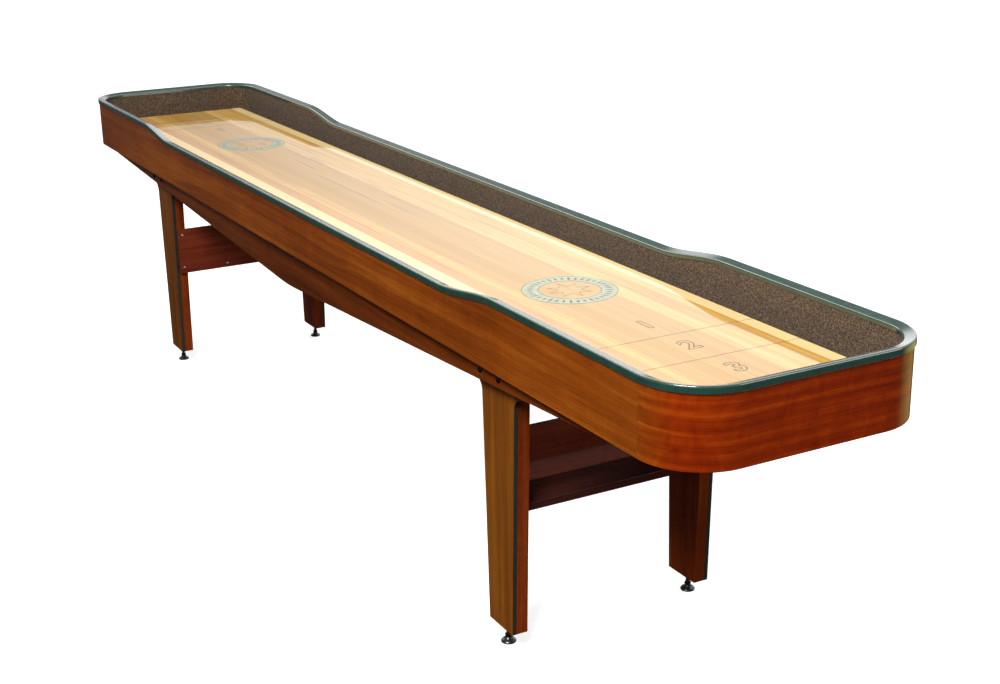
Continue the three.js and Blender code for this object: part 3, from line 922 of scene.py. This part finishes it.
def build_leg(name, sx, sy):
    bolts = [f"leg_bolt_{name}_{index}" for index in (1, 2)]
    outline = [(x + sx * LEG_X, z) for x, z in leg_board_outline()]
    start, stop = low(f"leg_board_{name}")[1], high(f"leg_board_{name}")[1]
    face = eased(prism(outline, stop - start, "y", start), 0.8 * MM, 2, 25, bolt_cutters(bolts))
    along_grain(face, "z", sx + 3 * sy)
    board = skin(f"leg_face_{name}", face, f"leg_board_{name}", LEG_WOOD)
    band_edges(board.data, EDGE_BAND)
    outline = [(x + sx * LEG_X, z) for x, z in leg_block_outline()]
    start, stop = low(f"leg_block_{name}")[1], high(f"leg_block_{name}")[1]
    foot = centre(f"leveler_stem_{name}")
    bore = moved(rod(8.3 * MM, LEG_BOTTOM - 0.01, 88 * MM), (foot[0], foot[1], 0))
    core = eased(prism(outline, stop - start, "y", start), 1.2 * MM, 3, 25, [*bolt_cutters(bolts), bore])
    skin(f"leg_core_{name}", along_grain(core, "z", 7 + sx + 2 * sy), f"leg_block_{name}",
         RED_WOOD)
    for bolt in bolts:
        place = centre(bolt)
        mesh = moved(leg_bolt(), turn=-sy * math.pi / 2, axis="X")
        skin(bolt.replace("leg_bolt", "carriage_bolt"), moved(mesh, (place[0], 0, place[2])),
             bolt, DARK_STEEL)


def leg_bolt():
    """Along +Z: domed head outside the apron, washer, nut and thread behind the leg."""
    head, back = APRON_FACE + GAP, BLOCK_BACK - GAP
    dome = [(8 * MM * math.cos(a), head + 4.8 * MM * math.sin(a))
            for a in (math.radians(9 * step) for step in range(10))]
    profile = [(0, back - 8.2 * MM), (BOLT_RADIUS, back - 8.2 * MM), (BOLT_RADIUS, back - 2 * MM),
               (9.6 * MM, back - 2 * MM), (10 * MM, back - 1.6 * MM), (10 * MM, back), (BOLT_RADIUS, back),
               (BOLT_RADIUS, head), *dome, (0, head + 4.8 * MM)]
    thread = threaded(BOLT_RADIUS, back - 9 * MM, back - 7.6 * MM)
    return joined([revolve(profile), hexagon(7.5 * MM, back - 8 * MM, back - 2 * MM), thread])


def build_leveler(name):
    x, y, _ = centre(f"leveler_stem_{name}")
    stem_low, stem_top = low(f"leveler_stem_{name}")[2], high(f"leveler_stem_{name}")[2]
    flange = low(f"leg_insert_{name}")[2]
    inner = STEM_RADIUS + GAP
    sleeve = [(inner, flange), (11.4 * MM, flange), (12 * MM, flange + 0.6 * MM), (12 * MM, flange + 2 * MM),
              (8 * MM, flange + 2 * MM), (8 * MM, high(f"leg_insert_{name}")[2]),
              (inner, high(f"leg_insert_{name}")[2]), (inner, flange)]
    skin(f"threaded_insert_{name}", moved(revolve(sleeve), (x, y, 0)),
         f"leg_insert_{name}", ZINC)
    stem = joined([threaded(STEM_RADIUS, stem_low, stem_top), hexagon(8 * MM, 14 * MM, 20 * MM)])
    stem_node = f"leveler_stem_{name}"
    skin(f"leveler_screw_{name}", moved(stem, (x, y, 0)), stem_node, DARK_STEEL, stem_node)
    radius = high(f"leveler_pad_{name}")[0] - x
    skirt = [(radius - 1 * MM + 1 * MM * math.sin(a), 1 * MM - 1 * MM * math.cos(a))
             for a in (math.radians(18 * step) for step in range(6))]
    foot = [(0, 0), *skirt, (radius, 3.4 * MM), (radius - 0.7 * MM, 4.3 * MM), (15 * MM, 6 * MM),
            (11.5 * MM, 7.8 * MM), (9.2 * MM, 9.8 * MM), (8 * MM, 11.6 * MM), (7.6 * MM, 12 * MM),
            (inner, 12 * MM), (inner, stem_low - GAP), (0, stem_low - GAP)]
    pad_node = f"leveler_pad_{name}"
    skin(f"leveler_foot_{name}", moved(revolve(foot, 64), (x, y, 0)), pad_node,
         PAD_BLACK, pad_node)


# ---------------------------------------------------------------- cross boards and shelves
def pan_screw():
    """A pan head along +Z with a cross recess."""
    radius, rise = 4.2 * MM, 1.9 * MM
    dome = [(radius * math.cos(a), rise * math.sin(a)) for a in (math.radians(10 * s) for s in range(10))]
    head = revolve([(0, -0.2 * MM), (radius, -0.2 * MM), *dome[:-1], (0, rise)], 32)
    slots = [block((-2.4 * MM, -0.4 * MM, 0.9 * MM), (2.4 * MM, 0.4 * MM, 4 * MM)),
             block((-0.4 * MM, -2.4 * MM, 0.9 * MM), (0.4 * MM, 2.4 * MM, 4 * MM))]
    return eased(head, 0.12 * MM, 1, 40, slots)


def build_cross_board(name, end):
    node = f"cross_board_{name}"
    place = centre(node)
    half = high(node)[1]
    tilt = math.atan(LEG_SLOPE)
    turn = 0 if end > 0 else math.pi
    board = eased(block((-CROSS_THICKNESS / 2, -half, -CROSS_HEIGHT / 2),
                        (CROSS_THICKNESS / 2, half, CROSS_HEIGHT / 2)), 0.8 * MM)
    along_grain(board, "y", 11 + end)
    screws = []
    edge_y = (half + BLOCK_BACK) / 2
    shelf_z = centre(f"leg_shelf_{name}")[2] - place[2]
    for y, z in ((edge_y, 0.055), (edge_y, -0.055), (0.089, shelf_z)):
        for side in (-1, 1):
            screw = moved(pan_screw(), turn=-math.pi / 2, axis="Y")
            screws.append(moved(screw, (-CROSS_THICKNESS / 2, side * y, z)))
    for piece, mesh, slot, replaced, material in (
            (f"cross_plank_{name}", board, "red_wood", node, CROSS_WOOD),
            (f"cross_screws_{name}", joined(screws), "zinc_steel", (), ZINC)):
        mesh = moved(moved(mesh, turn=-tilt, axis="Y"), turn=turn)
        skin(piece, moved(mesh, place), replaced, material)
    shelf = eased(block(*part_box(f"leg_shelf_{name}")), 1 * MM)
    skin(f"shelf_plank_{name}", along_grain(shelf, "y", 17 + end), f"leg_shelf_{name}",
         SHADED_SHELF_WOOD)


# ---------------------------------------------------------------- climate adjusters
def build_adjuster(name):
    rod_node = f"adjuster_rod_{name}"
    place = centre(rod_node)
    reach = high(rod_node)[1]
    for side_name, side in SIDES:
        node = f"adjuster_angle_{name}_{side_name}"
        (x0, y0, z0), (x1, y1, z1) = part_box(node)
        outer, inner = (y1, y0) if side > 0 else (-y0, -y1)
        step = ANGLE_THICKNESS
        outline = [(outer, z1), (outer, z0), (outer - step, z0), (outer - step, z1 - step),
                   (inner, z1 - step), (inner, z1)]
        # Drawn in (x, z) along y, then turned so that the outline lies in (y, z)
        bracket = moved(prism(outline, x1 - x0, "y", -(x1 - x0) / 2), turn=math.pi / 2)
        bore = moved(rod(STEM_RADIUS + GAP, outer - 0.02, outer + 0.02), turn=-math.pi / 2, axis="X")
        bracket = eased(bracket, 0.7 * MM, 2, 30, [moved(bore, (0, 0, place[2]))])
        bracket = moved(bracket, turn=0 if side > 0 else math.pi)
        skin(f"adjuster_bracket_{name}_{side_name}", moved(bracket, (place[0], 0, 0)),
             node, ZINC)
    outer = high(f"adjuster_angle_{name}_right")[1] + GAP
    bar = joined([threaded(STEM_RADIUS, -reach, reach, 0.4 * MM, 3 * MM, 20),
                  hexagon(9 * MM, outer, outer + 8 * MM), hexagon(9 * MM, -outer - 8 * MM, -outer)])
    bar = moved(bar, turn=-math.pi / 2, axis="X")
    skin(f"adjuster_bar_{name}", moved(bar, place), rod_node, ZINC, rod_node)


build_cabinet()
build_floor()
build_playfield()
build_markings()
build_aprons()
for corner, corner_x, corner_y in CORNERS:
    build_leg(corner, corner_x, corner_y)
    build_leveler(corner)
for end_name, end_side in ENDS:
    build_cross_board(end_name, end_side)
    build_adjuster(end_name)


# ---------------------------------------------------------------- stage, light and camera
FLOOR_GLOW = 0.66


def build_stage():
    """A pale floor that the table's faces don't pick up, so undersides stay dark as in a deep room."""
    bpy.ops.mesh.primitive_plane_add(size=60)
    floor = bpy.context.object
    floor.name = "studio_floor"
    nodes = Nodes("studio_floor")
    nodes.finish((0.80, 0.80, 0.79, 1), 0.9, specular=0.0)
    nodes.shader.inputs["Emission Color"].default_value = (1, 1, 1, 1)
    nodes.shader.inputs["Emission Strength"].default_value = FLOOR_GLOW
    floor.data.materials.append(nodes.material)
    floor.visible_glossy = False
    floor.visible_diffuse = False


def build_world():
    """Soft white near the horizon, dimmer overhead and dark below, with four soft patches of light."""
    world = bpy.data.worlds.new("studio")
    bpy.context.scene.world = world
    world.use_nodes = True
    tree = world.node_tree
    background = tree.nodes["Background"]
    place = tree.nodes.new("ShaderNodeTexCoord").outputs["Generated"]

    def combined(kind, operation, *values, output=0):
        node = tree.nodes.new(kind)
        node.operation = operation
        for index, value in enumerate(values):
            if isinstance(value, bpy.types.NodeSocket):
                tree.links.new(value, node.inputs[index])
            else:
                node.inputs[index].default_value = value
        return node.outputs[output]

    def span(value, *limits, shape="SMOOTHSTEP"):
        node = tree.nodes.new("ShaderNodeMapRange")
        node.interpolation_type = shape
        tree.links.new(value, node.inputs[0])
        for index, limit in enumerate(limits, start=1):
            node.inputs[index].default_value = limit
        return node.outputs[0]

    def patch(direction, outer, inner, level):
        """A soft round patch of light. Outer and inner are the cosines where it starts and is full."""
        facing = combined("ShaderNodeVectorMath", "DOT_PRODUCT", place, Vector(direction).normalized(),
                          output="Value")
        return span(facing, outer, inner, 0.0, level)

    parts = tree.nodes.new("ShaderNodeSeparateXYZ")
    tree.links.new(place, parts.inputs[0])
    height = parts.outputs[2]
    ramp = tree.nodes.new("ShaderNodeValToRGB")
    elements = ramp.color_ramp.elements
    levels = [(0.0, 0.005), (0.36, 0.02), (0.45, 0.09), (0.50, 0.22), (0.53, 0.48), (0.67, 0.46),
              (0.74, 0.15), (1.0, 0.18)]
    for index, (spot, level) in enumerate(levels):
        element = elements[index] if index < 2 else elements.new(spot)
        element.position = spot
        element.color = (level, level, level, 1)
    tree.links.new(combined("ShaderNodeMath", "MULTIPLY_ADD", height, 0.5, 0.5), ramp.inputs[0])
    lintel = span(height, 0.36, 0.45, 1.0, 0.0, shape="LINEAR")
    window = combined("ShaderNodeMath", "MULTIPLY", patch((-0.66, 0.66, 0.30), 0.86, 1.0, 1.3), lintel)
    warm = patch((-0.05, 0.93, -0.33), 0.90, 0.99, 0.8)
    light = combined("ShaderNodeVectorMath", "MULTIPLY_ADD", warm, (1.0, 0.85, 0.25), window)
    ceiling = patch((-0.07, 0.62, 0.79), 0.78, 0.95, 1.3)
    light = combined("ShaderNodeVectorMath", "ADD", light, ceiling)
    lamp = patch((-0.80, -0.10, 0.57), 0.965, 0.99, 4.0)
    light = combined("ShaderNodeVectorMath", "ADD", light, lamp)
    light = combined("ShaderNodeVectorMath", "ADD", light, ramp.outputs[0])
    tree.links.new(light, background.inputs["Color"])


def softbox(name, place, target, size, power):
    data = bpy.data.lights.new(name, "AREA")
    data.shape = "RECTANGLE"
    data.size, data.size_y = size
    data.energy = power
    obj = bpy.data.objects.new(name, data)
    bpy.context.collection.objects.link(obj)
    obj.location = place
    obj.rotation_euler = (Vector(target) - Vector(place)).to_track_quat("-Z", "Y").to_euler()


CAMERA_PLACE = (3.797, -1.735, 1.717)
CAMERA_ANGLES = (150.99, -18.40, -0.80)
LENS = 55.85


def build_camera():
    yaw, pitch, roll = (math.radians(angle) for angle in CAMERA_ANGLES)
    forward = Vector((math.cos(pitch) * math.cos(yaw), math.cos(pitch) * math.sin(yaw), math.sin(pitch)))
    right = Vector((math.sin(yaw), -math.cos(yaw), 0))
    up = right.cross(forward)
    turned_right = right * math.cos(roll) + up * math.sin(roll)
    turned_up = up * math.cos(roll) - right * math.sin(roll)
    data = bpy.data.cameras.new("camera")
    data.sensor_fit = "HORIZONTAL"
    data.sensor_width = 36
    data.lens = LENS
    data.clip_start = 0.05
    data.clip_end = 200
    camera = bpy.data.objects.new("camera", data)
    bpy.context.collection.objects.link(camera)
    basis = Matrix((turned_right, turned_up, -forward)).transposed().to_4x4()
    camera.matrix_world = Matrix.Translation(CAMERA_PLACE) @ basis
    bpy.context.scene.camera = camera


build_stage()
build_world()
softbox("key", (3.2, -3.1, 4.5), (0.3, 0, 0.6), (2.4, 1.8), 410)
softbox("top", (-2.0, 0.5, 4.6), (-1.9, 0, 0.7), (3.6, 3), 38)
softbox("fill", (5.2, 3.2, 1.5), (1.4, 0, 0.6), (3.0, 1.6), 52)
build_camera()
bpy.context.scene.view_settings.view_transform = "Standard"
